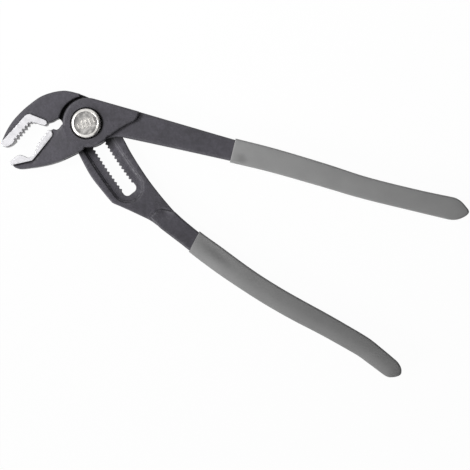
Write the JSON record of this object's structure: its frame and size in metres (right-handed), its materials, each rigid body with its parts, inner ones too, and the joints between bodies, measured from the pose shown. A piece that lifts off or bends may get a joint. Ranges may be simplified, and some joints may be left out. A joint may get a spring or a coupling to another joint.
{
  "type": "water pump pliers",
  "caption": "Water pump pliers with a toothed slot and a push-button locking bolt in a box joint, angled toothed jaws and long curved handles in dipped sleeves.",
  "frame": {"origin": "on the pivot's axis at the rear cheek's outer face, with the bolt in the first position of the slot and the jaws part open", "axes": "+X from the jaws towards the handles, +Y towards the upper jaw's back, +Z out through the button"},
  "size_m": [0.2505, 0.1535, 0.0182],
  "materials": {
    "black_steel": "satin blackened forging",
    "bright_steel": "ground and machined",
    "spring_steel": "drawn wire",
    "plated_button": "bright plated",
    "grey_vinyl": "dipped, matt"
  },
  "bodies": {
    "slotted_lever": {"slotted_lever": "black_steel", "lower_grip": "grey_vinyl"},
    "spring_seat": {"spring_seat": "bright_steel", "return_spring": "spring_steel"},
    "locking_bolt": {"locking_bolt": "bright_steel", "push_button": "plated_button"},
    "pivot_lever": {"pivot_lever": "black_steel", "upper_grip": "grey_vinyl"}
  },
  "joints": [
    {"name": "jaw_adjust", "type": "hinge", "parent": "slotted_lever", "child": "spring_seat", "pos_m": [0.22459, 0.12077, 0.007], "axis": [0, 0, 1], "range_deg": [0, 9.1]},
    {"name": "button_press", "type": "slide", "parent": "spring_seat", "child": "locking_bolt", "axis": [0, 0, -1], "range_m": [0, 0.0031], "stiffness_N_per_m": 600, "springref_m": -0.003, "deforming": ["return_spring"]},
    {"name": "jaw_pivot", "type": "hinge", "parent": "spring_seat", "child": "pivot_lever", "pos_m": [0, 0, 0.007], "axis": [0, 0, 1], "range_deg": [-9.3, 26]}
  ]
}
